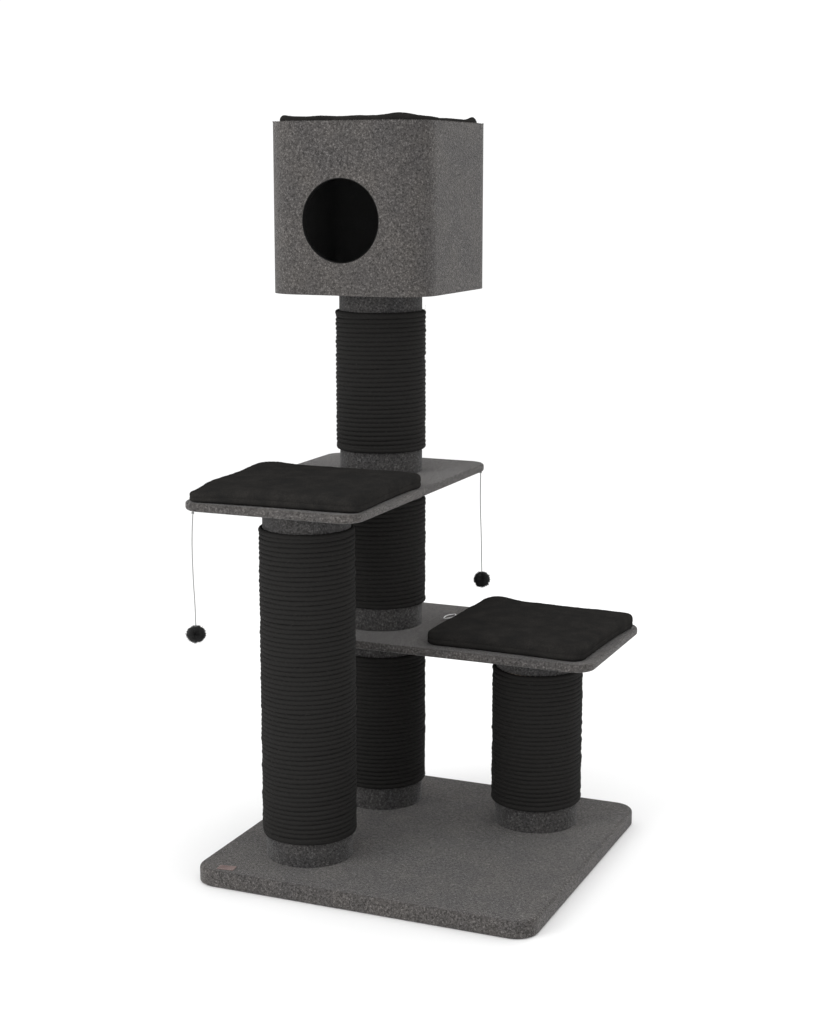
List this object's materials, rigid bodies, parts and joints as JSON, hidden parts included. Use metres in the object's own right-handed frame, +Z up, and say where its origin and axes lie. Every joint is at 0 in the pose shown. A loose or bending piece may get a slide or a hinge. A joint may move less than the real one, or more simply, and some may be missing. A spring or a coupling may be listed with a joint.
{
  "type": "cat tree",
  "caption": "Free-standing cat tree: plush base, rope-wound posts, offset shelves with cushions, a rounded cube house with a round entrance and cushioned roof, and hanging pom-pom toys.",
  "frame": {"origin": "on the floor, at the middle of the square grid that the posts stand on; the base's own centre is 3 mm to the left of it and 2.5 mm behind it", "axes": "+Z up, -Y out of the house entrance, +X to the right as seen from the front"},
  "size_m": [0.7795, 0.7735, 1.5918],
  "materials": {
    "grey_plush": "short pile, flecked",
    "black_plush": "soft pile",
    "dark_lining": "matte",
    "sisal": "twisted fibre",
    "board": "raw board",
    "card": "raw card",
    "zinc_steel": "zinc plated",
    "tag_leather": "smooth",
    "elastic": "woven",
    "toy_cord": "braided",
    "pompom_yarn": "cut yarn"
  },
  "bodies": {
    "stand": {"base_lower_board": "board", "base_upper_board": "board", "lower_shelf_board": "board", "upper_shelf_board": "board", "house_wall": "board", "house_floor": "board", "house_roof": "board", "post_plugs": "board", "base_cover": "grey_plush", "lower_shelf_cover": "grey_plush", "upper_shelf_cover": "grey_plush", "house_cover": "grey_plush", "base_liner": "dark_lining", "house_lining": "dark_lining", "house_floor_mat": "dark_lining", "house_ceiling_lining": "dark_lining", "entrance_sleeve": "dark_lining", "house_tray_cover": "dark_lining", "base_bolts": "zinc_steel", "base_washers": "zinc_steel", "post_nuts": "zinc_steel", "top_bolts": "zinc_steel", "top_washers": "zinc_steel", "joining_rods": "zinc_steel", "house_screws": "zinc_steel", "toy_staples": "zinc_steel", "base_tag": "tag_leather", "front_post_tube": "card", "front_post_rope": "sisal", "front_post_lower_band": "grey_plush", "front_post_upper_band": "grey_plush", "right_post_tube": "card", "right_post_rope": "sisal", "right_post_lower_band": "grey_plush", "right_post_upper_band": "grey_plush", "rear_post_lower_tube": "card", "rear_post_lower_rope": "sisal", "rear_post_lower_lower_band": "grey_plush", "rear_post_lower_upper_band": "grey_plush", "rear_post_middle_tube": "card", "rear_post_middle_rope": "sisal", "rear_post_middle_lower_band": "grey_plush", "rear_post_middle_upper_band": "grey_plush", "rear_post_upper_tube": "card", "rear_post_upper_rope": "sisal", "rear_post_upper_lower_band": "grey_plush", "rear_post_upper_upper_band": "grey_plush"},
    "lower_cushion": {"lower_cushion": "black_plush", "lower_cushion_loop": "elastic"},
    "upper_cushion": {"upper_cushion": "black_plush"},
    "top_cushion": {"top_cushion": "black_plush"},
    "left_knot": {"left_toy_knot": "toy_cord"},
    "left_toy": {"left_toy_cord": "toy_cord", "left_pompom": "pompom_yarn"},
    "right_knot": {"right_toy_knot": "toy_cord"},
    "right_toy": {"right_toy_cord": "toy_cord", "right_pompom": "pompom_yarn"}
  },
  "joints": [
    {"name": "lower_cushion_lift", "type": "slide", "parent": "stand", "child": "lower_cushion", "axis": [0.8, 0, 0.6], "range_m": [0, 0.35]},
    {"name": "upper_cushion_lift", "type": "slide", "parent": "stand", "child": "upper_cushion", "axis": [0, 0, 1], "range_m": [0, 0.15]},
    {"name": "top_cushion_lift", "type": "slide", "parent": "stand", "child": "top_cushion", "axis": [0, 0, 1], "range_m": [0, 0.15]},
    {"name": "left_toy_fore_and_aft", "type": "hinge", "parent": "stand", "child": "left_knot", "pos_m": [-0.374, -0.34, 0.7906], "axis": [1, 0, 0], "range_deg": [-60, 18]},
    {"name": "left_toy_sideways", "type": "hinge", "parent": "left_knot", "child": "left_toy", "pos_m": [-0.374, -0.34, 0.7906], "axis": [0, 1, 0], "range_deg": [-18, 60]},
    {"name": "right_toy_fore_and_aft", "type": "hinge", "parent": "stand", "child": "right_knot", "pos_m": [-0.0164, 0.366, 0.7906], "axis": [1, 0, 0], "range_deg": [-20, 60]},
    {"name": "right_toy_sideways", "type": "hinge", "parent": "right_knot", "child": "right_toy", "pos_m": [-0.0164, 0.366, 0.7906], "axis": [0, 1, 0], "range_deg": [-60, 20]}
  ]
}
